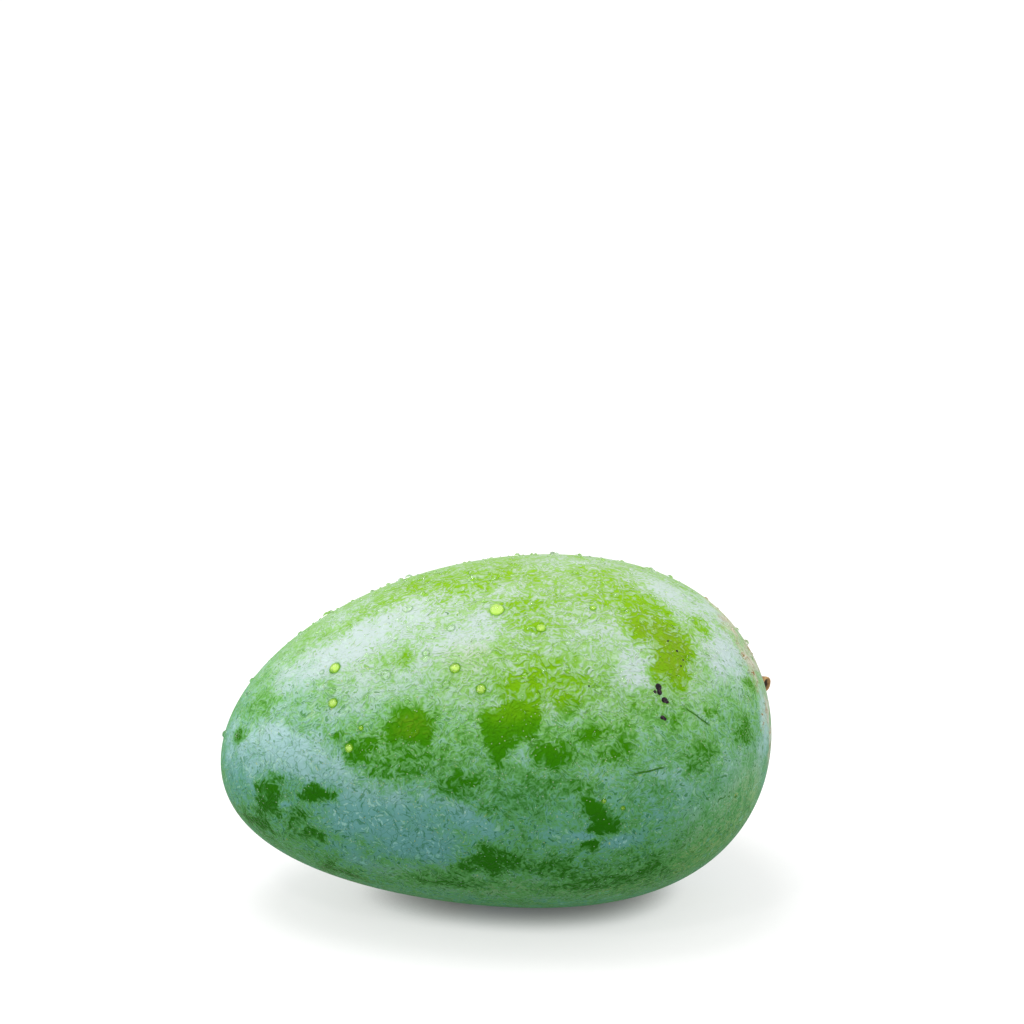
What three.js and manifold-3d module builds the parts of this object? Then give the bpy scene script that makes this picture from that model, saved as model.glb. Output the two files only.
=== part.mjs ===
// A whole green mango lying on its cheek, with the short dry stub that its stalk leaves behind.
// Millimetres, +Z up. The fruit lies along X with its stem end at +X, and the origin is the middle
// of the small flat spot that it lies on.
import * as THREE from "three";
import { mergeVertices } from "three/addons/utils/BufferGeometryUtils.js";
import Module from "manifold-3d";

// The fruit's form: a round-ended egg, flatter between its cheeks than across them.
const LENGTH = 140; // tip to stem end
const CHEEK_THICKNESS = 87.6; // from cheek to cheek, half way along
const SIDE_WIDTH = 94.7; // across the cheeks, half way along
const CHEEK_FULLNESS = 0.171; // how much thicker the stem half is than the tip half
const SIDE_FULLNESS = 0.24; // how much wider the stem half is than the tip half
const END_BLUNTNESS = 0.085; // fullness added at both ends
const ARCH = 1.0; // rise of the middle of the centreline above its ends
const SWAY = 3.3; // S-curve of the centreline: the tip half rises, the stem half sinks
const SIDE_BOW = 2.2; // the sideways bow of the centreline, towards +Y
const UNEVENNESS = 0.005; // broad, faint swells, as a share of the radius
const REST_PITCH = THREE.MathUtils.degToRad(4.7); // how far the stem end is raised where the fruit lies
const FLAT_DEPTH = 1.1; // how much is pressed flat underneath
const SKIN_SIDES = 72;
const SKIN_RINGS = 48;

// The stem end: a shallow dimple, off the long axis, with a socket for the root of the stub.
const STEM_UP = 0.07; // offset from the long axis, as a share of the radius
const STEM_BACK = 0.13;
const DIMPLE_DEPTH = 1.0;
const DIMPLE_SPREAD = 8;
const STUB_RADIUS = 2.1;
const STUB_HEIGHT = 3.4;
const STUB_ROOT = 2.4;
const STUB_BEND = THREE.MathUtils.degToRad(38); // how far it has bent over sideways, towards -Y
const STUB_SLANT = 0.3; // the end is snapped off aslant: how much it falls across each millimetre
const STUB_SIDES = 20;
const SOCKET_GAP = 0.3;

const SKIN_COLOUR = 0x74a06a;
const STUB_COLOUR = 0x6b4a2a;

const wasm = await Module();
wasm.setup();

// A closed geometry with its shared vertices merged, keeping only their places.
function weld(geometry) {
  geometry.deleteAttribute("normal");
  geometry.deleteAttribute("uv");
  return mergeVertices(geometry);
}

function toSolid(geometry) {
  const welded = weld(geometry);
  const mesh = new wasm.Mesh({
    numProp: 3,
    vertProperties: new Float32Array(welded.attributes.position.array),
    triVerts: new Uint32Array(welded.index.array),
  });
  return new wasm.Manifold(mesh);
}

function toGeometry(solid) {
  const mesh = solid.getMesh();
  const geometry = new THREE.BufferGeometry();
  geometry.setAttribute("position", new THREE.BufferAttribute(mesh.vertProperties, 3));
  geometry.setIndex(new THREE.BufferAttribute(mesh.triVerts, 1));
  geometry.computeVertexNormals();
  return geometry;
}

// Where a point of the unit ball lies on the fruit. The ball's +Y is the tip and its -Y the stem end.
function skinPoint(ball) {
  const along = ball.y;
  const girth = 1 - along * along;
  const blunt = END_BLUNTNESS * along * along;
  const swell = 1 + UNEVENNESS * Math.cos(4.1 * ball.x + 1.3) * Math.cos(3.3 * along + 2.6 * ball.z);
  const point = new THREE.Vector3(
    (-LENGTH / 2) * along,
    (SIDE_WIDTH / 2) * ball.x * (1 - SIDE_FULLNESS * along + blunt) * swell + SIDE_BOW * girth,
    (CHEEK_THICKNESS / 2) * ball.z * (1 - CHEEK_FULLNESS * along + blunt) * swell + girth * (ARCH + SWAY * along),
  );
  return point.applyAxisAngle(new THREE.Vector3(0, 1, 0), -REST_PITCH);
}

// The middle of the stem's dimple, and the way that the stem points, square to the skin there.
function stemPlace() {
  const toward = (up, back) => skinPoint(new THREE.Vector3(back, -1, up).normalize());
  const middle = toward(STEM_UP, STEM_BACK);
  const step = 0.02;
  const upward = toward(STEM_UP + step, STEM_BACK).sub(middle);
  const backward = toward(STEM_UP, STEM_BACK + step).sub(middle);
  const out = backward.cross(upward).normalize();
  return { foot: middle.addScaledVector(out, -DIMPLE_DEPTH), out };
}

// A solid of revolution about Y, from [radius, height] points that start and end on its axis.
function revolve(profile) {
  const points = profile.map(([radius, height]) => new THREE.Vector2(radius, height));
  return weld(new THREE.LatheGeometry(points, STUB_SIDES));
}

// Stands a geometry made about Y on the foot of the stem, square to the skin.
function standOnStem(geometry, stem) {
  const turn = new THREE.Quaternion().setFromUnitVectors(new THREE.Vector3(0, 1, 0), stem.out);
  return geometry.applyQuaternion(turn).translate(stem.foot.x, stem.foot.y, stem.foot.z);
}

// The whole fruit before it is cut: a ball drawn out to the fruit's form, dimpled at the stem.
function fruitForm(stem) {
  const geometry = weld(new THREE.SphereGeometry(1, SKIN_SIDES, SKIN_RINGS));
  const places = geometry.attributes.position;
  const ball = new THREE.Vector3();
  for (let i = 0; i < places.count; i++) {
    const point = skinPoint(ball.fromBufferAttribute(places, i).normalize());
    const away = point.distanceTo(stem.foot) / DIMPLE_SPREAD;
    point.addScaledVector(stem.out, -DIMPLE_DEPTH * Math.exp(-away * away));
    places.setXYZ(i, point.x, point.y, point.z);
  }
  return geometry;
}

// The fruit with its flat spot pressed underneath and the socket for the stub.
function cutFruit(form, stem, flatHeight) {
  const table = new THREE.BoxGeometry(2 * LENGTH, 2 * LENGTH, LENGTH);
  table.translate(0, 0, flatHeight - LENGTH / 2);
  const socketRadius = STUB_RADIUS + SOCKET_GAP;
  const socketFloor = -STUB_ROOT - SOCKET_GAP;
  const profile = [[0, socketFloor], [socketRadius, socketFloor], [socketRadius, STUB_HEIGHT], [0, STUB_HEIGHT]];
  const socket = standOnStem(revolve(profile), stem);
  return toSolid(form).subtract(toSolid(table)).subtract(toSolid(socket));
}

// The stub: a root in the socket, a thick collar over the skin, and a bent stalk with a hollow, snapped end.
function stubGeometry(stem) {
  const profile = [
    [0, -STUB_ROOT],
    [STUB_RADIUS * 0.9, -STUB_ROOT],
    [STUB_RADIUS, 0.3],
    [STUB_RADIUS * 1.18, 0.8],
    [STUB_RADIUS * 1.2, 1.2],
    [STUB_RADIUS * 1.06, 1.8],
    [STUB_RADIUS, 2.4],
    [STUB_RADIUS * 1.02, STUB_HEIGHT - 0.4],
    [STUB_RADIUS * 0.9, STUB_HEIGHT],
    [STUB_RADIUS * 0.74, STUB_HEIGHT - 0.15],
    [STUB_RADIUS * 0.55, STUB_HEIGHT - 1.0],
    [0, STUB_HEIGHT - 1.4],
  ];
  const geometry = revolve(profile);
  const places = geometry.attributes.position;
  const bendRadius = STUB_HEIGHT / STUB_BEND;
  for (let i = 0; i < places.count; i++) {
    const height = places.getY(i);
    if (height <= 0) continue;
    const side = places.getX(i);
    const turn = height / bendRadius;
    const fall = STUB_SLANT * side * (height / STUB_HEIGHT) ** 2;
    places.setX(i, bendRadius * (1 - Math.cos(turn)) + side * Math.cos(turn) - fall * Math.sin(turn));
    places.setY(i, bendRadius * Math.sin(turn) - side * Math.sin(turn) - fall * Math.cos(turn));
  }
  return standOnStem(geometry, stem);
}

function named(name, geometry, colour, roughness) {
  const material = new THREE.MeshStandardMaterial({ color: colour, roughness, metalness: 0 });
  const mesh = new THREE.Mesh(geometry, material);
  mesh.name = name;
  return mesh;
}

// The middle of the flat spot, which the whole part is placed by.
function flatMiddle(geometry, flatHeight) {
  const places = geometry.attributes.position;
  const box = new THREE.Box3();
  const point = new THREE.Vector3();
  for (let i = 0; i < places.count; i++) {
    point.fromBufferAttribute(places, i);
    if (Math.abs(point.z - flatHeight) < 0.001) box.expandByPoint(point);
  }
  return box.getCenter(new THREE.Vector3());
}

const stem = stemPlace();
const form = fruitForm(stem);
form.computeBoundingBox();
const flatHeight = form.boundingBox.min.z + FLAT_DEPTH;
const fruit = toGeometry(cutFruit(form, stem, flatHeight));

const mango = new THREE.Group();
mango.add(named("fruit", fruit, SKIN_COLOUR, 0.5));
mango.add(named("stem_stub", stubGeometry(stem), STUB_COLOUR, 0.85));
mango.position.copy(flatMiddle(fruit, flatHeight)).negate();

export default mango;
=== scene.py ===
"""A green mango lying on its cheek: bloomed peel rubbed bare in patches, a dry stem stub, scabs of sap
and drops of water. Metres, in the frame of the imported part: +Z up, +X towards the stem end."""
import math

import bpy
import numpy as np
from mathutils import Matrix, Vector, noise


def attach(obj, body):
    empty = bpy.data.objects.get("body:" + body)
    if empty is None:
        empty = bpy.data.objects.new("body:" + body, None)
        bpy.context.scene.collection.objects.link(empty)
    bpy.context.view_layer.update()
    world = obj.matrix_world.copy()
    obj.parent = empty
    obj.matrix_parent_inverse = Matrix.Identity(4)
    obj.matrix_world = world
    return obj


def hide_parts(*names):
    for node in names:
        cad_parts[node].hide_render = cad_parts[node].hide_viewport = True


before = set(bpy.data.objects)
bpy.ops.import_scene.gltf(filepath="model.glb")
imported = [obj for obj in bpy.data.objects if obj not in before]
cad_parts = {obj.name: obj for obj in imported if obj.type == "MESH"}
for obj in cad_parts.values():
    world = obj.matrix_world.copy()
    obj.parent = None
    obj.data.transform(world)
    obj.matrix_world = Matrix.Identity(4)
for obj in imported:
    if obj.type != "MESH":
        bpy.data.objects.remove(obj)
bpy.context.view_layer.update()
MM = 0.001
SEED = 7
FRUIT_HEIGHT = 88  # millimetres, which the colours of the peel are graded by

# The camera stands where the photograph was taken from. Pixels are those of its 1024 x 1024 frame.
PHOTO_SIZE = 1024
LENS = 85
SENSOR = 36
PIXELS_PER_SLOPE = PHOTO_SIZE * LENS / SENSOR
CAMERA_AZIMUTH = math.radians(-5)
CAMERA_ELEVATION = math.radians(22)
CAMERA_DISTANCE = 617.7 * MM
FRUIT_MIDDLE = Vector((-11.8, -3.0, 41.8)) * MM  # the middle of the fruit's long axis
FRUIT_MIDDLE_PIXEL = (495.45, 739.75)

# Bare patches of the peel in the photograph, where the bloom is gone: how bare, how many pixels its edge
# takes to fade, and the pixels round it.
BARE = [
    # The middle of the side.
    (1.45, 10, [
        (483, 716), (488, 712), (497, 709), (505, 706), (510, 700), (520, 701), (539, 706), (540, 722),
        (538, 730), (530, 737), (518, 739), (511, 743), (506, 751), (501, 762), (497, 769), (493, 757),
        (489, 746), (485, 736), (483, 726),
    ]),
    (0.55, 20, [
        (494, 684), (505, 672), (520, 662), (545, 655), (556, 668), (556, 690), (548, 700), (541, 708),
        (520, 701), (508, 702), (500, 694),
    ]),
    (0.85, 18, [
        (530, 756), (536, 745), (543, 738), (555, 737), (567, 741), (573, 748), (577, 757), (566, 764),
        (555, 770), (546, 770), (538, 764),
    ]),
    (0.82, 15, [
        (572, 733), (580, 729), (594, 724), (603, 726), (613, 730), (600, 738), (590, 741), (577, 739),
    ]),
    (0.5, 17, [
        (592, 757), (600, 748), (612, 746), (625, 737), (632, 741), (636, 752), (628, 762), (612, 765),
        (600, 762),
    ]),
    (0.45, 15, [
        (618, 722), (624, 715), (632, 722), (634, 730), (624, 735), (616, 733),
    ]),
    # Left of the middle.
    (1.25, 9, [
        (398, 711), (408, 709), (416, 710), (428, 714), (432, 722), (430, 735), (428, 743), (420, 744),
        (412, 741), (402, 743), (390, 742), (383, 737), (388, 728), (397, 721),
    ]),
    (0.7, 14, [
        (360, 737), (372, 732), (385, 728), (390, 742), (378, 750), (370, 745), (362, 745),
    ]),
    (0.9, 14, [
        (344, 756), (350, 750), (352, 741), (362, 738), (376, 741), (378, 748), (368, 756), (372, 766),
        (384, 772), (398, 777), (396, 783), (384, 782), (372, 776), (362, 768), (352, 762),
    ]),
    (0.9, 8, [
        (333, 737), (336, 732), (341, 729), (347, 731), (346, 735), (341, 738), (337, 741),
    ]),
    (0.6, 8, [
        (399, 662), (403, 657), (408, 654), (411, 656), (407, 661), (402, 665),
    ]),
    (0.58, 18, [
        (433, 790), (441, 781), (449, 772), (462, 766), (476, 770), (484, 778), (486, 788), (483, 795),
        (475, 799), (467, 797), (460, 800), (450, 799), (444, 794),
    ]),
    (0.55, 16, [
        (483, 800), (492, 801), (501, 806), (500, 815), (490, 818), (482, 812),
    ]),
    # Low on the side.
    (0.65, 13, [
        (571, 793), (577, 784), (585, 781), (595, 781), (594, 790), (591, 798), (580, 798),
    ]),
    (1.6, 10, [
        (583, 798), (590, 797), (597, 806), (606, 813), (618, 817), (622, 822), (614, 829), (604, 831),
        (596, 832), (585, 831), (594, 824), (592, 817), (585, 811), (583, 804),
    ]),
    (1.6, 9, [
        (580, 848), (587, 843), (593, 839), (600, 836), (601, 839), (598, 846), (594, 851), (586, 850),
    ]),
    (0.9, 14, [
        (452, 873), (460, 862), (470, 858), (480, 851), (487, 842), (492, 848), (505, 851), (515, 856),
        (521, 862), (513, 869), (500, 868), (492, 875), (484, 870), (475, 868), (465, 875),
    ]),
    (0.42, 18, [
        (640, 862), (648, 854), (660, 852), (672, 862), (664, 875), (650, 884), (632, 888), (615, 884),
        (608, 874), (625, 868),
    ]),
    # The stem half.
    (0.85, 11, [
        (625, 622), (634, 615), (645, 621), (655, 617), (668, 622), (680, 632), (690, 640), (697, 649),
        (697, 657), (690, 661), (689, 672), (692, 678), (686, 684), (683, 691), (677, 690), (673, 683),
        (668, 676), (660, 680), (652, 677), (648, 668), (657, 660), (652, 651), (656, 643), (650, 636),
        (642, 640), (633, 638), (628, 630),
    ]),
    (0.85, 11, [
        (688, 617), (695, 615), (703, 622), (710, 628), (712, 634), (707, 637), (700, 635), (694, 628),
    ]),
    (0.75, 14, [
        (734, 735), (737, 725), (744, 720), (750, 728), (751, 738), (745, 744), (737, 742),
    ]),
    (0.8, 8, [
        (749, 677), (756, 684), (757, 691), (752, 690), (748, 684),
    ]),
    (0.75, 8, [
        (705, 710), (711, 708), (715, 713), (711, 716), (706, 715),
    ]),
    (0.6, 14, [
        (671, 722), (680, 713), (684, 718), (682, 725), (673, 729),
    ]),
    # The tip.
    (1.0, 8, [
        (255, 786), (260, 781), (268, 782), (275, 779), (279, 785), (281, 792), (283, 800), (278, 800),
        (276, 807), (279, 812), (283, 818), (281, 821), (276, 816), (268, 813), (261, 814), (260, 806),
        (257, 799), (258, 792),
    ]),
    (0.8, 8, [
        (270, 773), (275, 774), (283, 780), (281, 784), (275, 780),
    ]),
    (1.0, 8, [
        (298, 797), (303, 791), (306, 786), (312, 781), (319, 785), (326, 790), (333, 787), (338, 795),
        (337, 801), (327, 802), (318, 800), (308, 801),
    ]),
    (0.95, 8, [
        (241, 809), (248, 813), (257, 816), (264, 817), (268, 823), (274, 833), (262, 829), (252, 823),
        (244, 818),
    ]),
    (0.8, 8, [
        (283, 823), (288, 818), (294, 816), (296, 822), (291, 828), (286, 829),
    ]),
    (0.9, 8, [
        (303, 834), (309, 829), (316, 831), (322, 834), (328, 838), (324, 843), (316, 839), (308, 836),
    ]),
    (0.95, 8, [
        (235, 735), (240, 730), (245, 727), (243, 734), (240, 741), (237, 741),
    ]),
    (0.7, 8, [
        (320, 864), (330, 864), (338, 868), (344, 872), (333, 872), (324, 868),
    ]),
    # The top.
    (0.35, 16, [
        (392, 590), (410, 583), (428, 578), (445, 575), (460, 572), (470, 585), (455, 600), (445, 606),
        (430, 592), (410, 597), (398, 597),
    ]),
    (0.42, 15, [
        (470, 583), (485, 572), (505, 565), (525, 567), (545, 572), (555, 577), (540, 580), (520, 578),
        (505, 580), (490, 590), (478, 595),
    ]),
    (0.55, 15, [
        (500, 603), (515, 598), (530, 603), (545, 600), (535, 608), (515, 610),
    ]),
    (0.45, 15, [
        (578, 598), (590, 594), (600, 598), (612, 596), (625, 600), (640, 606), (630, 614), (610, 608),
        (592, 606),
    ]),
]
# Softer patches: pixel of the middle, half length and half width in millimetres, turn in degrees from
# level, and strength. In the rubbed ones the bloom is thin.
RUBBED = [
    ((600, 692), 12.0, 8.0, 0, 0.1),
    ((562, 692), 6.0, 5.0, 0, 0.42),
    ((456, 748), 5.0, 4.0, 0, 0.25),
    ((402, 762), 9.0, 4.0, -5, 0.45),
    ((520, 790), 14.0, 8.0, 0, 0.16),
    ((300, 813), 3.0, 1.6, 0, 0.5),
    ((262, 705), 7.0, 5.0, 0, 0.22),
    ((440, 881), 12.0, 3.4, 0, 0.5),
    ((560, 868), 10.0, 4.0, 0, 0.4),
    ((600, 884), 16.0, 4.0, 5, 0.4),
    ((352, 875), 5.0, 1.6, -15, 0.6),
    ((640, 603), 9.0, 5.0, -15, 0.6),
    ((650, 702), 6.0, 3.0, 0, 0.12),
    ((700, 757), 6.0, 5.0, 0, 0.32),
    ((650, 798), 9.0, 7.0, 0, 0.14),
    ((500, 573), 15.0, 9.0, 0, 0.1),
    ((440, 585), 13.0, 8.0, 15, 0.1),
    ((380, 604), 10.0, 4.0, 20, 0.15),
    ((450, 598), 8.0, 3.0, 10, 0.25),
    ((602, 573), 12.0, 6.0, -5, 0.28),
    ((512, 620), 4.0, 3.0, 0, 0.2),
    ((312, 641), 8.0, 4.0, 35, 0.12),
    ((540, 628), 5.0, 2.0, 0, 0.35),
]
# Frosted patches carry the thickest bloom.
FROSTED = [
    ((395, 622), 16.0, 8.0, 20, 1.0),
    ((480, 627), 8.0, 6.0, 0, 0.75),
    ((502, 592), 6.0, 4.0, 0, 0.5),
    ((736, 655), 6.0, 7.0, 0, 0.4),
    ((415, 678), 6.0, 4.0, 0, 0.5),
    ((244, 765), 4.0, 9.0, 0, 0.6),
    ((230, 752), 5.0, 11.0, 0, 0.6),
    ((345, 852), 8.0, 4.0, -20, 0.5),
    ((395, 872), 9.0, 3.0, -8, 0.45),
    ((328, 722), 5.0, 4.0, 0, 0.35),
    ((345, 616), 10.0, 4.0, 25, 0.4),
    ((758, 770), 3.0, 11.0, 0, 0.6),
    ((765, 728), 4.0, 9.0, 0, 0.9),
    ((440, 645), 9.0, 5.0, 0, 0.7),
    ((345, 650), 9.0, 5.0, 25, 0.8),
    ((300, 672), 10.0, 8.0, 30, 0.7),
    ((365, 690), 8.0, 7.0, 0, 0.4),
    ((590, 632), 10.0, 5.0, 0, 0.4),
    ((632, 668), 5.0, 6.0, 0, 0.9),
    ((722, 655), 7.0, 7.5, 0, 1.0),
    ((722, 697), 8.0, 8.0, 0, 0.12),
    ((672, 595), 14.0, 7.0, -30, 1.0),
    ((715, 612), 6.0, 5.0, -40, 0.8),
    ((275, 750), 10.0, 8.0, -15, 1.0),
    ((320, 766), 9.0, 6.0, -20, 0.9),
    ((395, 820), 15.0, 9.0, -10, 1.0),
    ((430, 852), 11.0, 5.0, -5, 0.9),
    ((345, 815), 7.0, 6.0, 0, 0.7),
    ((480, 825), 7.0, 3.5, -30, 0.8),
    ((450, 808), 6.0, 4.0, -25, 0.6),
    ((665, 785), 10.0, 8.0, 0, 0.4),
    ((735, 765), 7.0, 7.0, 0, 0.35),
    ((655, 822), 10.0, 5.0, 0, 0.3),
    ((617, 842), 5.0, 2.0, 5, 0.9),
    ((585, 836), 2.5, 1.5, 0, 0.9),
    ((288, 808), 2.6, 2.6, 0, 0.9),
    ((520, 760), 4.0, 4.0, 0, 0.3),
    ((566, 564), 9.0, 8.0, 0, 0.5),
    ((570, 836), 8.0, 5.0, 0, 0.4),
]
# Where the bloom has yellowed: under the fruit, at the stem end and in one spot on top.
SALLOW = [
    ((722, 828), 14.0, 15.0, 0, 1.0),
    ((650, 878), 20.0, 7.0, 5, 1.2),
    ((480, 886), 26.0, 6.0, 0, 0.8),
    ((300, 856), 16.0, 6.0, -25, 0.35),
    ((752, 790), 8.0, 12.0, 0, 0.8),
    ((472, 658), 8.0, 5.0, 0, 0.5),
]
OLIVE = [
    ((668, 652), 9.0, 8.0, -40, 1.0),
    ((650, 625), 7.0, 5.0, -20, 0.8),
    ((412, 726), 6.0, 4.0, 0, 0.4),
]
# How many patches the side that doesn't show has, and their least and largest half lengths in millimetres.
HIDDEN_RUBBED = 80
HIDDEN_RUBBED_SIZES = (1.6, 8)
HIDDEN_FROSTED = 22
HIDDEN_FROSTED_SIZES = (6, 17)

# Drops of water: pixel of the middle, width and length in millimetres, and whether the bloom is washed
# off under it so that the peel shows through.
DROPS = [
    ((335, 668), 2.6, 3.1, True),
    ((333, 703), 2.3, 2.5, True),
    ((332, 691), 1.8, 2.0, False),
    ((455, 668), 2.5, 2.7, True),
    ((446, 684), 1.6, 2.1, False),
    ((481, 689), 2.1, 2.8, True),
    ((386, 675), 2.4, 2.2, False),
    ((408, 609), 2.3, 2.4, False),
    ((473, 579), 2.8, 2.8, False),
    ((451, 628), 1.8, 2.1, False),
    ((426, 653), 1.6, 1.7, False),
    ((322, 672), 1.1, 1.2, False),
    ((361, 728), 1.2, 1.3, True),
    ((349, 748), 1.9, 2.3, True),
    ((497, 610), 3.6, 3.6, True),
    ((541, 628), 2.6, 2.1, True),
    ((577, 573), 2.1, 2.3, False),
    ((593, 608), 1.5, 1.7, True),
    ((604, 801), 1.1, 1.2, True),
    ((623, 808), 1.0, 1.1, True),
]
BEAD_COUNT = 520
DROP_RISE = 0.42  # the height of a drop or bead as a share of its width

# Scabs of dried sap: pixel of the middle, width and length in millimetres.
SCABS = [
    ((658.5, 687), 1.7, 2.0),
    ((659.5, 692), 1.4, 1.7),
    ((655, 692), 0.9, 1.0),
    ((664.5, 700), 1.7, 1.5),
    ((667, 702), 1.1, 0.9),
    ((662.5, 717.5), 1.3, 1.1),
    ((665, 719), 0.9, 0.9),
    ((677, 651), 0.6, 0.7),
    ((683, 660), 0.4, 0.5),
    ((681, 666), 0.5, 0.5),
    ((668, 641), 0.6, 0.5),
    ((589, 686), 0.4, 0.6),
]
SCAB_HEIGHT = 0.16  # millimetres
HIDDEN_SCABS = 9
HIDDEN_SCAB_HEIGHT = 0.14  # millimetres
# Scratches: the pixels of both ends.
SCRATCHES = [((681, 705), (712, 728)), ((629, 775), (668, 767))]

# The stub stands on this place of the peel. It has bent over, so that its snapped end faces sideways.
STEM_FOOT = Vector((56.0, 5.0, 51.1)) * MM
STUB_END = Vector((59.3, 4.4, 51.5)) * MM
STUB_END_FACES = Vector((0.878, -0.477, 0.049)).normalized()
STUB_HOLLOW_RADIUS = 1.45  # millimetres
STUB_RIM_RADIUS = 1.8  # millimetres

# Colours of the peel and its bloom, by height: 0 at the bottom of the fruit and 1 at its top. Darker low
# down: partly the peel's own sun side, partly painted shade.
BARE_PEEL = [
    (0.30, (0.010, 0.090, 0.001)),
    (0.45, (0.012, 0.103, 0.001)),
    (0.60, (0.025, 0.158, 0.001)),
    (0.72, (0.045, 0.205, 0.001)),
    (0.80, (0.130, 0.330, 0.003)),
    (1.00, (0.190, 0.390, 0.008)),
]
BLOOM_FILM = [
    (0.30, (0.060, 0.210, 0.055)),
    (0.50, (0.078, 0.255, 0.088)),
    (0.70, (0.145, 0.360, 0.095)),
    (0.85, (0.240, 0.430, 0.150)),
    (1.00, (0.250, 0.410, 0.155)),
]
THIN_WAX = [
    (0.30, (0.064, 0.197, 0.160)),
    (0.50, (0.100, 0.274, 0.225)),
    (0.65, (0.190, 0.375, 0.315)),
    (0.80, (0.330, 0.470, 0.370)),
    (1.00, (0.380, 0.475, 0.390)),
]
THICK_WAX = [
    (0.30, (0.076, 0.214, 0.200)),
    (0.45, (0.102, 0.264, 0.242)),
    (0.60, (0.290, 0.455, 0.455)),
    (0.80, (0.400, 0.490, 0.475)),
    (1.00, (0.410, 0.490, 0.460)),
]
OLD_WAX = [
    (0.20, (0.150, 0.235, 0.072)),
    (0.50, (0.190, 0.335, 0.165)),
    (0.90, (0.430, 0.490, 0.300)),
]
# Pale dashes painted as highlights on the peel's fine relief.
GLINT_HIGHLIGHT = [
    (0.30, (0.150, 0.330, 0.300)),
    (0.60, (0.330, 0.520, 0.430)),
    (0.90, (0.480, 0.590, 0.520)),
]
PORES = [
    (0.30, (0.200, 0.360, 0.250)),
    (0.90, (0.480, 0.580, 0.280)),
]
# Pale cream round the stem end: partly russeting, partly a painted sheen along the limb.
CREAM_RUSSET_AND_SHEEN = [
    (0.50, (0.400, 0.450, 0.380)),
    (0.85, (0.480, 0.440, 0.340)),
]
# Colours that are the same at any height.
OLIVE_PEEL = (0.152, 0.276, 0.010)
DEEP_PEEL = (0.014, 0.100, 0.001)
WASHED_PEEL = (0.20, 0.40, 0.015)
# Painted light under the washed drops, and painted shade round the feet of the drops.
LIT_PEEL = (0.52, 0.68, 0.20)
DROP_RIM_SHADE = (0.05, 0.20, 0.006)
PIT = (0.05, 0.18, 0.01)
SPECK = (0.30, 0.36, 0.05)
RUSSET_VEIN = (0.22, 0.11, 0.01)
SCRATCH = (0.030, 0.145, 0.003)


class Field:
    """A socket of a material's nodes. Operators on it add Math nodes, and node() adds any other node."""

    def __init__(self, tree, socket=None):
        self.tree = tree
        self.socket = socket

    def node(self, kind, settings=None, inputs=None, output=0):
        made = self.tree.nodes.new(kind)
        for name, value in (settings or {}).items():
            if name == "stops":
                set_stops(made.color_ramp, value)
            else:
                setattr(made, name, value)
        for name, value in (inputs or {}).items():
            feed(made.inputs[name], value)
        return Field(self.tree, made.outputs[output])

    def math(self, operation, *terms):
        return self.node("ShaderNodeMath", {"operation": operation}, dict(enumerate(terms)))

    def __add__(self, other):
        return self.math("ADD", self, other)

    def __radd__(self, other):
        return self.math("ADD", other, self)

    def __sub__(self, other):
        return self.math("SUBTRACT", self, other)

    def __rsub__(self, other):
        return self.math("SUBTRACT", other, self)

    def __mul__(self, other):
        return self.math("MULTIPLY", self, other)

    def __rmul__(self, other):
        return self.math("MULTIPLY", other, self)

    def __abs__(self):
        return self.math("ABSOLUTE", self)

    def least(self, other):
        return self.math("MINIMUM", self, other)

    def rise(self, low, high):
        """0 below low and 1 above high, with a soft step between. It falls where low is the larger."""
        ends = {"Value": self, "From Min": low, "From Max": high}
        return self.node("ShaderNodeMapRange", {"interpolation_type": "SMOOTHSTEP"}, ends)

    def blend(self, first, second):
        """The first colour where this is 0 and the second where it is 1."""
        return self.node("ShaderNodeMix", {"data_type": "RGBA"}, {0: self, 6: first, 7: second}, output=2)

    def ramp(self, stops):
        return self.node("ShaderNodeValToRGB", {"stops": stops}, {"Fac": self})

    def vector(self, operation, other, output=0):
        return self.node("ShaderNodeVectorMath", {"operation": operation}, {0: self, 1: other}, output)

    def away_from(self, point):
        return self.vector("DISTANCE", point, output=1)

    def along(self, direction):
        return self.vector("DOT_PRODUCT", direction, output=1)

    def noise(self, size, detail=2.0, roughness=0.5, output=0):
        texture = {"Vector": self, "Scale": 1 / size, "Detail": detail, "Roughness": roughness}
        return self.node("ShaderNodeTexNoise", None, texture, output)


def set_stops(color_ramp, stops):
    """Gives a colour ramp its stops, each a place and a colour."""
    while len(color_ramp.elements) < len(stops):
        color_ramp.elements.new(1.0)
    for element, (place, colour) in zip(color_ramp.elements, stops):
        element.position = place
        element.color = (*colour, 1.0)


def feed(socket, value):
    """Links a field to a socket, or sets the socket's own value."""
    if isinstance(value, Field):
        value.tree.links.new(value.socket, socket)
    elif isinstance(value, tuple) and len(value) == 3 and socket.type == "RGBA":
        socket.default_value = (*value, 1.0)
    else:
        socket.default_value = value


def new_material(name):
    """A new material, its shader, and its places in millimetres as a field."""
    material = bpy.data.materials.new(name)
    material.use_nodes = True
    shader = material.node_tree.nodes["Principled BSDF"]
    place = Field(material.node_tree).node("ShaderNodeTexCoord", output="Object")
    return material, shader, place.vector("MULTIPLY", (1000, 1000, 1000))


def finish_shader(shader, **inputs):
    for name, value in inputs.items():
        feed(shader.inputs[name.replace("_", " ").title().replace("Ior", "IOR")], value)


def bump(height, distance):
    """A normal field from a height field, distance metres high where the height is 1."""
    return height.node("ShaderNodeBump", inputs={"Height": height, "Distance": distance})


def attribute(field, name):
    return field.node("ShaderNodeAttribute", {"attribute_name": name}, output="Fac")


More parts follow.
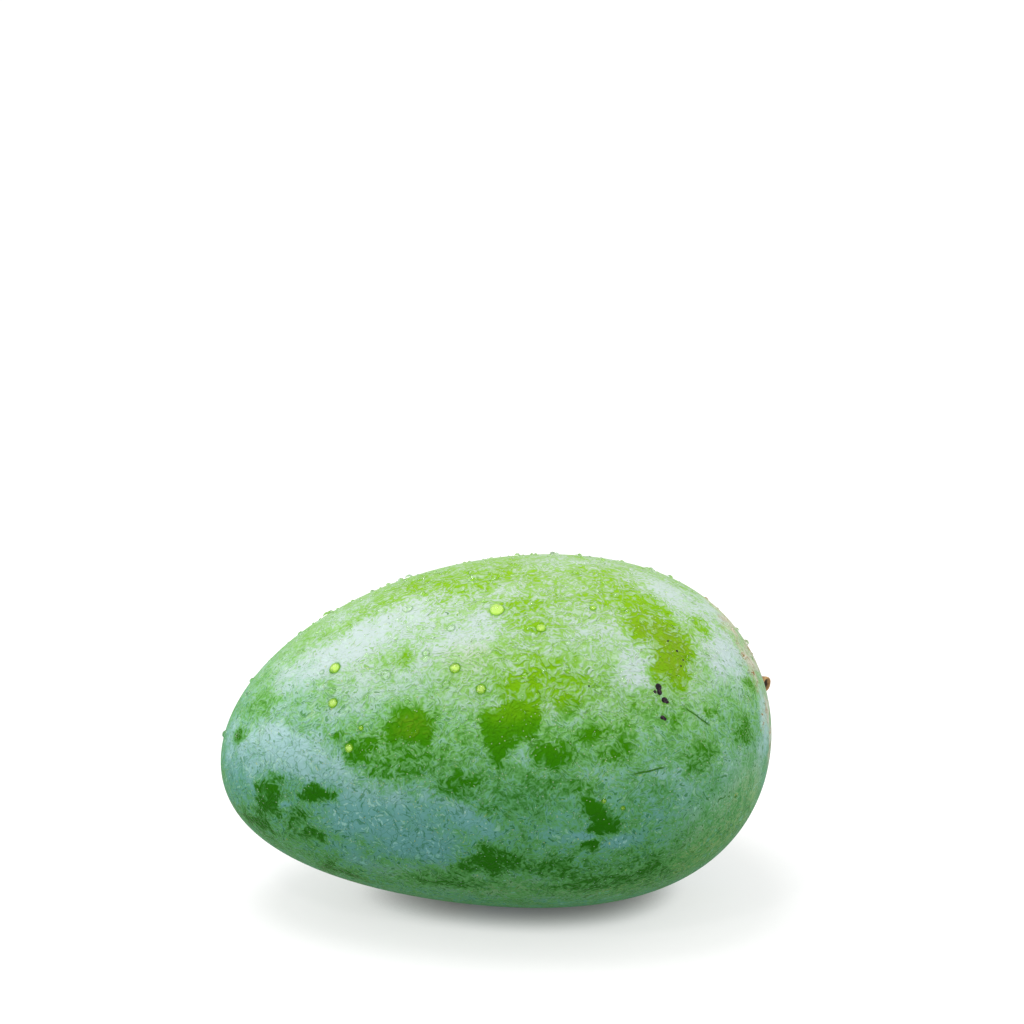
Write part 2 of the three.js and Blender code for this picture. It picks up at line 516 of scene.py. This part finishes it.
def scratch_mask(place, start, end, normal):
    """1 along a fine scratch between two places on the peel, in millimetres."""
    run = end - start
    side = run.cross(normal).normalized()
    offset = place.vector("SUBTRACT", tuple(start))
    wobble = (place.noise(2.0) - 0.5) * 0.5
    across = abs(offset.along(tuple(side)) + wobble).rise(0.26, 0.1)
    share = offset.along(tuple(run / run.length_squared))
    ends = share.rise(0.0, 0.25) * share.rise(1.0, 0.8)
    depth = abs(offset.along(tuple(normal))).rise(4.0, 3.0)
    return across * ends * depth


def spots(field, spacing, edge, core):
    """1 in round spots that lie about one spacing apart. Each fades in from its edge to its core."""
    return field.node("ShaderNodeTexVoronoi", None, {"Vector": field, "Scale": 1 / spacing}).rise(edge, core)


def drop_marks(place, feet):
    """Marks of the drops: where the bloom is washed off, where painted light stands for the light a drop
    gathers, and a painted shade ring at the rim of each foot.
    """
    far = 9.0  # millimetres, further than any mark reaches
    to_rim = far
    to_washed_rim = far
    for middle, radius, washed in feet:
        past_rim = place.away_from(middle) - radius
        to_rim = past_rim.least(to_rim)
        if washed:
            to_washed_rim = past_rim.least(to_washed_rim)
    return to_washed_rim.rise(0.15, -0.15), to_washed_rim.rise(-0.2, -0.9), abs(to_rim).rise(0.36, 0.08)


def brush_strokes(place, swirled):
    """Noise in short strokes that run two ways over the peel, each way in areas of its own."""
    ways = []
    for turn in ((0, 40, 20), (0, -48, -30)):
        stretch = {"Vector": swirled, "Rotation": tuple(map(math.radians, turn)), "Scale": (2.6, 1, 1)}
        stretched = swirled.node("ShaderNodeMapping", {"vector_type": "TEXTURE"}, stretch)
        ways.append(stretched.noise(0.95, 1.0))
    second_way = place.noise(4.0).rise(0.42, 0.58)
    return ways[0] + (ways[1] - ways[0]) * second_way


def peel_colour(height, olive, mottle, flecks):
    """The bare peel, olive in places, with deep green mottles."""
    olive_share = olive.rise(0.05, 0.9) * (0.75 + mottle * 2.4 + flecks * 0.8)
    colour = olive_share.blend(height.ramp(BARE_PEEL), OLIVE_PEEL)
    return (mottle * 1.6 + flecks * 0.25).rise(0.1, 0.8).blend(colour, DEEP_PEEL)


def wax_colour(height, frost, sallow):
    """The full bloom: thick where it is frosted, yellowed where it is sallow, and thin elsewhere."""
    colour = frost.rise(0.0, 0.8).blend(height.ramp(THIN_WAX), height.ramp(THICK_WAX))
    return (sallow * 0.8).blend(colour, height.ramp(OLD_WAX))


def stem_russet_and_sheen(place, swirled, mottle, broad):
    """Where the peel is pale cream round the stem end, in blotches: partly russeting, partly a painted sheen
    along the lit limb; and the fine veins of the russeting.
    """
    from_stem = place.away_from(tuple(STEM_FOOT / MM)) + mottle * 9.0 + broad * 12.0
    blotches = place.noise(7.0, 3.0).rise(0.42, 0.6)
    russet_and_sheen = from_stem.rise(32.0, 25.0) * (0.2 + blotches * 0.7)
    veins = abs(swirled.noise(5.0, 3.0) - 0.5).rise(0.024, 0.006) * blotches
    return russet_and_sheen, from_stem.rise(32.0, 29.0) * veins


def skin_material(scratches, feet):
    """Green peel under a waxy bloom that is rubbed thin in patches, with pores, russeting and scratches. Its
    colours also paint light: shade towards the bottom, a sheen by the stem end, and highlights on the fine
    relief and on the peel under the drops.
    """
    material, shader, place = new_material("bloomed_peel")
    rubbed = attribute(place, "rubbed")
    frost = attribute(place, "frost")
    olive = attribute(place, "olive")
    sallow = attribute(place, "sallow")
    wet, lit, rim = drop_marks(place, feet)

    # Noise of several sizes, and the places swirled by it.
    warp = place.noise(5.0, output=1).vector("SUBTRACT", (0.5, 0.5, 0.5))
    swirled = place.vector("ADD", warp.vector("MULTIPLY", (7, 7, 7)))
    broad = place.noise(16.0, 3.0) - 0.5
    mottle = place.noise(3.4, 5.0, 0.66) - 0.5
    grain = place.noise(0.7, 1.0) - 0.5
    stroke = brush_strokes(place, swirled)
    flecks = stroke.rise(0.36, 0.64) - 0.5
    # Dashes along the strokes: dark ones of bare peel, partly painted shade on the fine relief, and pale
    # glints, painted highlights.
    nick_and_relief_shade = stroke.rise(0.61, 0.66)
    glint = stroke.rise(0.39, 0.34)

    # How much bloom covers the peel: none at 0, a film at a half, and full wax at 1.
    height = place.along((0, 0, 1 / FRUIT_HEIGHT)) + broad * 0.14 + mottle * 0.1
    streaks = flecks * (0.33 + height.rise(0.7, 0.95) * 0.34 - frost * 0.1)
    rubbing = rubbed * (1.0 - flecks * 0.5 - mottle * 0.9)
    cover = 0.60 + frost * 0.42 - rubbing + broad * 0.35 + mottle * 1.15 + streaks + grain * 0.4
    bloom = cover.rise(-0.05, 1.1) * (1.0 - wet * 0.9)

    # The height ramps paint shade: the colours grow darker towards the bottom of the fruit.
    peel = peel_colour(height, olive, mottle, flecks)
    colour = (bloom * 2.0).blend(peel, height.ramp(BLOOM_FILM))
    colour = (bloom * 2.0 - 1.0).blend(colour, wax_colour(height, frost, sallow))
    cell_edges = {"Vector": swirled, "Scale": 1 / 2.6}
    cracks = place.node("ShaderNodeTexVoronoi", {"feature": "DISTANCE_TO_EDGE"}, cell_edges).rise(0.05, 0.0)
    colour = (cracks * frost * height.rise(0.75, 0.5) * 0.45).blend(colour, peel)
    # Painted relief: dark dashes partly stand for shade on the strokes, and pale dashes are painted
    # highlights.
    colour = (nick_and_relief_shade * bloom * (0.85 - frost * 0.3)).blend(colour, peel)
    colour = (glint * bloom * 0.7).blend(colour, height.ramp(GLINT_HIGHLIGHT))
    colour = (wet * 0.8).blend(colour, WASHED_PEEL)
    # Painted light where a drop gathers light, and a painted shade ring round each drop's foot.
    colour = (lit * 0.6).blend(colour, LIT_PEEL)
    colour = (rim * (0.35 + wet * 0.4)).blend(colour, DROP_RIM_SHADE)

    pore = spots(place, 1.3, 0.15, 0.09)
    pit = spots(swirled, 2.6, 0.1, 0.05)
    speck = spots(swirled, 1.7, 0.13, 0.07)
    colour = (pore * 0.75).blend(colour, height.ramp(PORES))
    colour = (pit * bloom * 0.8).blend(colour, PIT)
    colour = (speck * bloom * 0.6).blend(colour, SPECK)

    russet_and_sheen, veins = stem_russet_and_sheen(place, swirled, mottle, broad)
    # Partly russeting, partly a painted sheen.
    colour = (russet_and_sheen * (1.0 + flecks * 0.4)).blend(colour, height.ramp(CREAM_RUSSET_AND_SHEEN))
    colour = (veins * 0.85).blend(colour, RUSSET_VEIN)

    scratched = 0.0
    for start, end, normal in scratches:
        scratched = scratched + scratch_mask(place, start, end, normal)
    colour = (scratched * 0.9).blend(colour, SCRATCH)

    texture = (mottle * 0.5 + flecks * 0.8 + grain) * (0.5 - frost * 0.2)
    finish_shader(
        shader,
        base_color=colour,
        roughness=0.34 + bloom * 0.24 + russet_and_sheen * 0.15,
        normal=bump(texture + pore * 0.3 - scratched - pit * 0.4, 0.5 * MM),
        specular_ior_level=0.02,
    )
    return material


def stub_material():
    """Dry brown stalk: long fibres, and at the snapped end a pale rim painted as a highlight and a hollow
    painted near black as shade.
    """
    material, shader, place = new_material("dry_stalk")
    hollow = attribute(place, "hollow")
    rim = attribute(place, "rim")
    stretched = place.node("ShaderNodeMapping", None, {"Vector": place, "Scale": (0.35, 1, 1)})
    fibres = stretched.noise(0.4, 3.0, 0.6)
    blotch = place.noise(1.1, 3.0)
    colour = fibres.rise(0.3, 0.7).blend((0.10, 0.045, 0.015), (0.30, 0.16, 0.06))
    colour = (blotch.rise(0.45, 0.7) * 0.5).blend(colour, (0.36, 0.22, 0.09))
    # Painted light: a highlight on the rim and shade in the hollow.
    colour = (rim * 0.8).blend(colour, (0.46, 0.27, 0.10))
    colour = (hollow.rise(0.3, 0.7) * 0.95).blend(colour, (0.018, 0.008, 0.004))
    finish_shader(
        shader,
        base_color=colour,
        roughness=0.6 + fibres * 0.3,
        normal=bump(fibres + blotch, 0.15 * MM),
    )
    return material


def water_material():
    """Clear water that lets most of the lamps' light through to the peel under it."""
    material, shader, place = new_material("water")
    finish_shader(shader, base_color=(0.94, 1.0, 0.86), roughness=0.02, ior=1.33, transmission_weight=1.0,
                  specular_ior_level=1.0)
    tree = material.node_tree
    clear = place.node("ShaderNodeBsdfTransparent", inputs={"Color": (0.95, 0.98, 0.9)})
    shadow = place.node("ShaderNodeLightPath", output="Is Shadow Ray") * 0.65
    body = Field(tree, shader.outputs["BSDF"])
    mixed = place.node("ShaderNodeMixShader", inputs={0: shadow, 1: body, 2: clear})
    feed(tree.nodes["Material Output"].inputs["Surface"], mixed)
    return material


def scab_material():
    """Dried sap, almost black, browner where it is thin."""
    material, shader, place = new_material("dried_sap")
    blotch = place.noise(0.5, 3.0)
    finish_shader(
        shader,
        base_color=blotch.rise(0.4, 0.65).blend((0.008, 0.006, 0.008), (0.045, 0.030, 0.038)),
        roughness=0.5 + blotch * 0.3,
        normal=bump(blotch, 0.1 * MM),
        specular_ior_level=0.1,
    )
    return material


def floor_material():
    """A plain pale floor with a faint grain. It glows as a light table does, and its glow is dimmed close by
    the fruit as a painted contact shadow.
    """
    material, shader, place = new_material("pale_floor")
    grain = place.noise(3.0, 4.0)
    # Painted contact shadow: the floor's glow fades where the fruit closes it in.
    openness_for_painted_shadow = place.node("ShaderNodeAmbientOcclusion", {"samples": 12}, {"Distance": 9 * MM}, output="AO")
    finish_shader(
        shader,
        base_color=grain.blend((0.41, 0.41, 0.41), (0.43, 0.43, 0.43)),
        roughness=0.8,
        specular_ior_level=0.0,
        emission_color=openness_for_painted_shadow.rise(0.0, 0.6).blend((0.1, 0.1, 0.1), (1, 1, 1)),
        emission_strength=0.58,
    )
    return material


def pick(piece):
    """Makes a piece the only one selected."""
    bpy.ops.object.select_all(action="DESELECT")
    piece.select_set(True)
    bpy.context.view_layer.objects.active = piece


def select_in_edit(piece, wanted):
    """Selects the vertices of the piece in edit mode whose places are wanted."""
    bpy.ops.mesh.select_all(action="DESELECT")
    bpy.ops.object.mode_set(mode="OBJECT")
    for vertex in piece.data.vertices:
        vertex.select = wanted(vertex.co)
    bpy.ops.object.mode_set(mode="EDIT")


def smooth(piece, levels):
    """Rounds a piece by subdivision, applied."""
    pick(piece)
    rounding = piece.modifiers.new("rounding", "SUBSURF")
    rounding.levels = levels
    rounding.render_levels = levels
    bpy.ops.object.modifier_apply(modifier=rounding.name)
    bpy.ops.object.shade_smooth()


def cad_copy(node, name):
    """A copy of a CAD node as a new piece, its loose triangles merged and paired into quads."""
    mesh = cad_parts[node].data.copy()
    mesh.materials.clear()
    piece = bpy.data.objects.new(name, mesh)
    bpy.context.collection.objects.link(piece)
    pick(piece)
    bpy.ops.mesh.customdata_custom_splitnormals_clear()
    bpy.ops.object.mode_set(mode="EDIT")
    bpy.ops.mesh.select_all(action="SELECT")
    bpy.ops.mesh.remove_doubles(threshold=0.002 * MM)
    bpy.ops.mesh.tris_convert_to_quads()
    bpy.ops.object.mode_set(mode="OBJECT")
    return piece


def make_skin():
    """The peel: the fruit's own form, with the rest spot as one clean face, rounded fine."""
    skin = cad_copy("fruit", "mango_skin")
    pick(skin)
    bpy.ops.object.mode_set(mode="EDIT")
    # Slivers along the edge of the rest spot are merged first.
    select_in_edit(skin, lambda place: place.z < 0.35 * MM)
    bpy.ops.mesh.remove_doubles(threshold=0.5 * MM)
    select_in_edit(skin, lambda place: place.z < 0.02 * MM)
    bpy.ops.mesh.dissolve_faces()
    bpy.ops.object.mode_set(mode="OBJECT")
    smooth(skin, 2)
    return skin


def vertex_places(piece):
    places = np.empty(len(piece.data.vertices) * 3)
    piece.data.vertices.foreach_get("co", places)
    return places.reshape(-1, 3)


def paint(piece, name, values):
    """Stores a number for each vertex of a piece, for its material to read."""
    stored = piece.data.attributes.new(name, "FLOAT", "POINT")
    stored.data.foreach_set("value", values.astype(np.float32))


def add_camera():
    """The camera at the photograph's place, with the fruit where the photograph has it."""
    level = math.cos(CAMERA_ELEVATION)
    east, north = math.sin(CAMERA_AZIMUTH), math.cos(CAMERA_AZIMUTH)
    back = Vector((east * level, -north * level, math.sin(CAMERA_ELEVATION)))
    right = Vector((north, east, 0))
    up = back.cross(right)
    metres_per_pixel = CAMERA_DISTANCE / PIXELS_PER_SLOPE
    across = (PHOTO_SIZE / 2 - FRUIT_MIDDLE_PIXEL[0]) * metres_per_pixel
    raised = (FRUIT_MIDDLE_PIXEL[1] - PHOTO_SIZE / 2) * metres_per_pixel
    camera = bpy.data.objects.new("camera", bpy.data.cameras.new("camera"))
    camera.data.lens = LENS
    camera.data.sensor_width = SENSOR
    camera.location = FRUIT_MIDDLE + back * CAMERA_DISTANCE
    aim = FRUIT_MIDDLE + right * across + up * raised
    camera.rotation_euler = (aim - camera.location).to_track_quat("-Z", "Y").to_euler()
    bpy.context.collection.objects.link(camera)
    bpy.context.scene.camera = camera
    bpy.context.view_layer.update()
    return camera


def seen_at(pixel, camera, skin):
    """The place on the peel that the photograph shows at a pixel, and the peel's normal there."""
    across = (pixel[0] - PHOTO_SIZE / 2) / PIXELS_PER_SLOPE
    raised = (PHOTO_SIZE / 2 - pixel[1]) / PIXELS_PER_SLOPE
    ray = camera.matrix_world.to_3x3() @ Vector((across, raised, -1))
    hit, place, normal, _ = skin.ray_cast(camera.location, ray.normalized())
    if not hit:
        raise ValueError(f"pixel {pixel} misses the fruit")
    return place, normal


def hidden_places(skin, camera, count, draw):
    """Places and normals spread at random over the side of the peel that the camera doesn't see."""
    faces = [face for face in skin.data.polygons if face.normal.dot(camera.location - face.center) < -0.03]
    weights = np.array([face.area for face in faces])
    picked = draw.choice(len(faces), count, replace=False, p=weights / weights.sum())
    return [(faces[i].center.copy(), faces[i].normal.copy()) for i in picked]


def patch_axes(normal, level, half_length, half_width, turn):
    """Rows that turn an offset from a patch's middle into shares of its half length, width and depth."""
    along = (level - normal * level.dot(normal)).normalized()
    along = Matrix.Rotation(math.radians(turn), 3, normal) @ along
    across = normal.cross(along)
    depth = 20.0
    return np.array([along / half_length, across / half_width, normal / depth]) / MM


def patch_field(places, patches):
    """How strongly a list of patches covers each place: 1 in the middle of a strong one, fading outwards."""
    most = 1.2
    field = np.zeros(len(places))
    for middle, axes, strength in patches:
        shares = (places - np.array(middle)) @ axes.T
        field += strength * np.exp(-np.linalg.norm(shares, axis=1) ** 3)
    return np.minimum(field, most)


def pixels_of(places, camera):
    """The pixels of the photograph at which the camera sees a list of places."""
    turn = np.array(camera.matrix_world.to_3x3())
    seen = (places - np.array(camera.location)) @ turn
    return PHOTO_SIZE / 2 + PIXELS_PER_SLOPE * seen[:, :2] / -seen[:, 2:] * (1, -1)


def depth_inside(points, outline):
    """How far each point lies inside a closed outline. It is negative outside."""
    corners = np.array(outline, dtype=float)
    nearest = np.full(len(points), np.inf)
    inside = np.zeros(len(points), dtype=bool)
    for start, end in zip(corners, np.roll(corners, -1, axis=0)):
        run = end - start
        offset = points - start
        share = np.clip(offset @ run / (run @ run), 0, 1)
        nearest = np.minimum(nearest, np.linalg.norm(offset - np.outer(share, run), axis=1))
        beside = (offset[:, 1] < 0) != (offset[:, 1] < run[1])
        turned = run[0] * offset[:, 1] - run[1] * offset[:, 0]
        inside ^= beside & ((turned > 0) == (run[1] > 0))
    return np.where(inside, nearest, -nearest)


def bare_field(skin, places, camera):
    """How bare each place of the peel is by the outlines of the bare patches, on the side that shows."""
    points = pixels_of(places, camera)
    normals = np.array([vertex.normal for vertex in skin.data.vertices])
    shows = ((np.array(camera.location) - places) * normals).sum(axis=1) > 0
    field = np.zeros(len(places))
    for strength, edge, outline in BARE:
        depth = depth_inside(points, outline) / edge
        close = np.clip(0.4 + depth, 0, 1)
        wide = np.clip(0.5 + depth / 3, 0, 1)
        field = np.maximum(field, strength * (0.75 * close + 0.25 * wide))
    return field * shows


def shown_patches(patches, camera, skin):
    level = camera.matrix_world.to_3x3() @ Vector((1, 0, 0))
    shown = []
    for pixel, half_length, half_width, turn, strength in patches:
        middle, normal = seen_at(pixel, camera, skin)
        shown.append((middle, patch_axes(normal, level, half_length, half_width, turn), strength))
    return shown


def hidden_patches(count, sizes, camera, skin, draw):
    """Patches at random over the side that the photograph doesn't show."""
    level = Vector((1, 0, 0.2))
    hidden = []
    for middle, normal in hidden_places(skin, camera, count, draw):
        half_length, half_width = draw.uniform(*sizes), draw.uniform(sizes[0], sizes[1] * 0.6)
        axes = patch_axes(normal, level, half_length, half_width, draw.uniform(-40, 40))
        hidden.append((middle, axes, draw.uniform(0.45, 1.1)))
    return hidden


def frayed(places):
    """The places, each shifted by swirls of about a millimetre."""
    noise.seed_set(SEED)
    shifted = []
    for place in places:
        wide = noise.noise_vector(Vector(place) / (7 * MM)) * 0.6
        fine = noise.noise_vector(Vector(place) / (2.5 * MM)) * 0.9
        shifted.append(Vector(place) + (wide + fine) * MM)
    return np.array(shifted)


def paint_bloom(skin, camera):
    """Stores where the peel is rubbed, frosted, olive and sallow. Swirls fray the edges of the patches."""
    draw = np.random.default_rng(SEED)
    places = frayed(vertex_places(skin))
    rubbed = shown_patches(RUBBED, camera, skin)
    rubbed += hidden_patches(HIDDEN_RUBBED, HIDDEN_RUBBED_SIZES, camera, skin, draw)
    frosted = shown_patches(FROSTED, camera, skin)
    frosted += hidden_patches(HIDDEN_FROSTED, HIDDEN_FROSTED_SIZES, camera, skin, draw)
    paint(skin, "rubbed", np.maximum(patch_field(places, rubbed), bare_field(skin, places, camera)))
    paint(skin, "frost", patch_field(places, frosted))
    paint(skin, "olive", patch_field(places, shown_patches(OLIVE, camera, skin)))
    paint(skin, "sallow", patch_field(places, shown_patches(SALLOW, camera, skin)))


def make_stub():
    """The stub: the CAD form, a little uneven and rounded fine. Its rim and hollow are marked for a painted
    highlight and painted shade.
    """
    stub = cad_copy("stem_stub", "dry_stem_stub")
    bpy.ops.object.mode_set(mode="EDIT")
    bpy.ops.mesh.select_all(action="SELECT")
    bpy.ops.transform.vertex_random(offset=0.12 * MM, seed=SEED)
    bpy.ops.object.mode_set(mode="OBJECT")
    smooth(stub, 2)
    offset = (vertex_places(stub) - np.array(STUB_END)) / MM
    height = offset @ np.array(STUB_END_FACES)
    radius = np.linalg.norm(offset - np.outer(height, np.array(STUB_END_FACES)), axis=1)
    # Where the painted shade of the hollow and the painted highlight of the rim go.
    paint(stub, "hollow", np.clip((STUB_HOLLOW_RADIUS - radius) / 0.3, 0, 1) * (height > -2.0))
    rim_highlight = np.exp(-((radius - STUB_RIM_RADIUS) / 0.4) ** 2)
    paint(stub, "rim", rim_highlight * np.clip((height + 1.0) / 0.4, 0, 1))
    return stub


def lie_on(place, normal, width, length, height):
    """The matrix that lays a unit shape on the peel, its length running downhill."""
    downhill = Vector((0, 0, -1)) - normal * -normal.z
    if downhill.length < 0.05:
        downhill = Vector((1, 0, 0)) - normal * normal.x
    downhill.normalize()
    side = normal.cross(downhill)
    turn = Matrix((downhill, side, normal)).transposed().to_4x4()
    size = Matrix.Diagonal((length / 2 * MM, width / 2 * MM, height * MM, 1))
    return Matrix.Translation(place) @ turn @ size


def model_drop(name, segments, rings):
    """A unit drop: a dome with a flat foot that sits a little below the peel, sagging downhill."""
    bpy.ops.object.select_all(action="DESELECT")
    bpy.ops.mesh.primitive_uv_sphere_add(segments=segments, ring_count=rings, radius=1)
    drop = bpy.context.object
    drop.name = name
    bpy.ops.object.mode_set(mode="EDIT")
    bpy.ops.mesh.select_all(action="SELECT")
    bpy.ops.mesh.bisect(plane_co=(0, 0, -0.25), plane_no=(0, 0, 1), use_fill=True, clear_inner=True)
    select_in_edit(drop, lambda place: place.z > 0.2)
    bpy.ops.transform.translate(value=(0.14, 0, 0))
    bpy.ops.object.mode_set(mode="OBJECT")
    return drop


def join_copies(model, name, matrices):
    """One piece made of a copy of the model at each matrix. The model is removed."""
    copies = []
    for matrix in matrices:
        mesh = model.data.copy()
        mesh.transform(matrix)
        copies.append(bpy.data.objects.new(name, mesh))
        bpy.context.collection.objects.link(copies[-1])
    bpy.data.objects.remove(model)
    pick(copies[0])
    for copy in copies[1:]:
        copy.select_set(True)
    bpy.ops.object.join()
    bpy.ops.object.shade_smooth()
    return bpy.context.object


def make_drops(skin, camera):
    """The drops that the photograph shows, and fine beads at random, fewer where the peel is steeper."""
    large = []
    for pixel, width, length, _ in DROPS:
        place, normal = seen_at(pixel, camera, skin)
        large.append(lie_on(place, normal, width, length, DROP_RISE * width))
    drops = join_copies(model_drop("drop", 24, 14), "water_drops", large)

    draw = np.random.default_rng(SEED + 1)
    faces = skin.data.polygons
    weights = np.array([face.area * max(0.0, face.normal.z - 0.1) ** 1.3 for face in faces])
    small = []
    for i in draw.choice(len(faces), BEAD_COUNT, replace=False, p=weights / weights.sum()):
        width = 0.5 + 1.4 * draw.random() ** 2.5
        length = width * draw.uniform(1.0, 1.35)
        small.append(lie_on(faces[i].center, faces[i].normal, width, length, DROP_RISE * width))
    beads = join_copies(model_drop("bead", 8, 6), "water_beads", small)
    return drops, beads


def make_scabs(skin, camera):
    """Flat, uneven scabs of dried sap: those in the photograph, and a few on the hidden side."""
    draw = np.random.default_rng(SEED + 2)
    places = []
    for pixel, width, length in SCABS:
        place, normal = seen_at(pixel, camera, skin)
        places.append(lie_on(place, normal, width, length, SCAB_HEIGHT))
    for place, normal in hidden_places(skin, camera, HIDDEN_SCABS, draw):
        width = draw.uniform(0.5, 1.4)
        length = width * draw.uniform(0.9, 1.4)
        places.append(lie_on(place, normal, width, length, HIDDEN_SCAB_HEIGHT))
    bpy.ops.object.select_all(action="DESELECT")
    bpy.ops.mesh.primitive_ico_sphere_add(subdivisions=3, radius=1)
    scab = bpy.context.object
    bpy.ops.object.mode_set(mode="EDIT")
    bpy.ops.mesh.select_all(action="SELECT")
    bpy.ops.transform.vertex_random(offset=0.14, seed=SEED)
    bpy.ops.mesh.vertices_smooth(factor=0.5, repeat=2)
    bpy.ops.object.mode_set(mode="OBJECT")
    return join_copies(scab, "sap_scabs", places)


def make_floor():
    bpy.ops.object.select_all(action="DESELECT")
    bpy.ops.mesh.primitive_plane_add(size=12)
    floor = bpy.context.object
    floor.name = "floor"
    floor.data.materials.append(floor_material())


def add_lamp(name, place, size, energy):
    """A round lamp turned to the fruit."""
    lamp = bpy.data.objects.new(name, bpy.data.lights.new(name, "AREA"))
    lamp.data.shape = "DISK"
    lamp.data.size = size
    lamp.data.energy = energy
    lamp.location = place
    lamp.rotation_euler = (FRUIT_MIDDLE - lamp.location).to_track_quat("-Z", "Y").to_euler()
    bpy.context.collection.objects.link(lamp)


def light_studio():
    """A soft dome, bright overhead and at both ends of the fruit, a soft lamp and a small, sharp one."""
    world = bpy.data.worlds.new("studio")
    bpy.context.scene.world = world
    world.use_nodes = True
    direction = Field(world.node_tree).node("ShaderNodeTexCoord", output="Generated")
    overhead = direction.along((0, 0, 1)).rise(-0.1, 1.0)
    dome = world.node_tree.nodes["Background"]
    feed(dome.inputs["Color"], (1.0, 1.0, 1.0))
    sideways = direction.along((1, 0, 0))
    feed(dome.inputs["Strength"], 0.06 + overhead * 0.7 + sideways * sideways * 2.2)
    add_lamp("softbox", place=(-0.2, 0.06, 1.0), size=0.6, energy=5.6)
    add_lamp("glint", place=(-0.35, -0.5, 0.8), size=0.1, energy=0.8)
    bpy.context.scene.view_settings.view_transform = "Standard"


def dress(piece, material):
    piece.data.materials.clear()
    piece.data.materials.append(material)
    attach(piece, "root")


camera = add_camera()
light_studio()
make_floor()

skin = make_skin()
paint_bloom(skin, camera)
scratches = []
for start_pixel, end_pixel in SCRATCHES:
    start, normal = seen_at(start_pixel, camera, skin)
    end, _ = seen_at(end_pixel, camera, skin)
    scratches.append((start / MM, end / MM, normal))
feet = []
for pixel, width, length, washed in DROPS:
    foot, _ = seen_at(pixel, camera, skin)
    feet.append((tuple(foot / MM), (width + length) / 4, washed))
dress(skin, skin_material(scratches, feet))
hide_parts("fruit")

stub = make_stub()
dress(stub, stub_material())
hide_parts("stem_stub")

water = water_material()
for piece in make_drops(skin, camera):
    dress(piece, water)
dress(make_scabs(skin, camera), scab_material())
